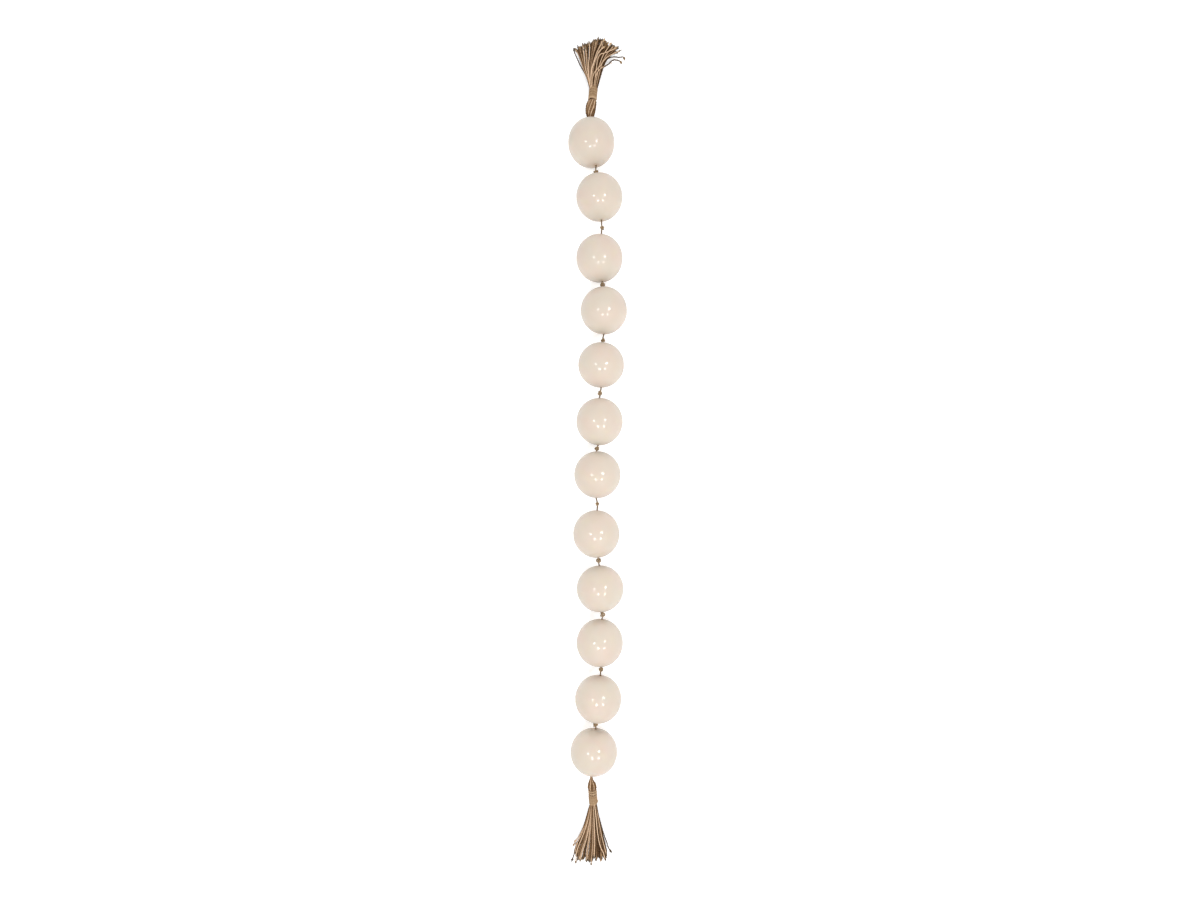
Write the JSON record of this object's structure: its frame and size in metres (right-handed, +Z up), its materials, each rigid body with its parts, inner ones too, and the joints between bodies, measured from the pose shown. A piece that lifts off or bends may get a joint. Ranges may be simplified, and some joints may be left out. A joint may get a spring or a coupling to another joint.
{
  "type": "ball garland",
  "caption": "Straight garland of glossy balls threaded on knotted jute twine, with a bound jute tassel fanned out at each end.",
  "frame": {"origin": "middle of the garland's box, at the surface that it lies on", "axes": "+Z up, +Y along the garland towards the wider tassel, +X across it"},
  "size_m": [0.0964, 1.399, 0.0756],
  "materials": {
    "lacquer": "high gloss cream-blush lacquer, faintly mottled",
    "twine": "plied natural jute twine, dull",
    "strands": "cut natural jute strands, dull, with frayed ends",
    "winding": "natural jute twine wound in close turns, dull"
  },
  "bodies": {
    "root": {"ball_01": "lacquer", "ball_02": "lacquer", "ball_03": "lacquer", "ball_04": "lacquer", "ball_05": "lacquer", "ball_06": "lacquer", "ball_07": "lacquer", "ball_08": "lacquer", "ball_09": "lacquer", "ball_10": "lacquer", "ball_11": "lacquer", "ball_12": "lacquer", "string": "twine", "tassel_top": "strands", "tassel_bottom": "strands", "binding_top": "winding", "binding_bottom": "winding"}
  },
  "joints": []
}
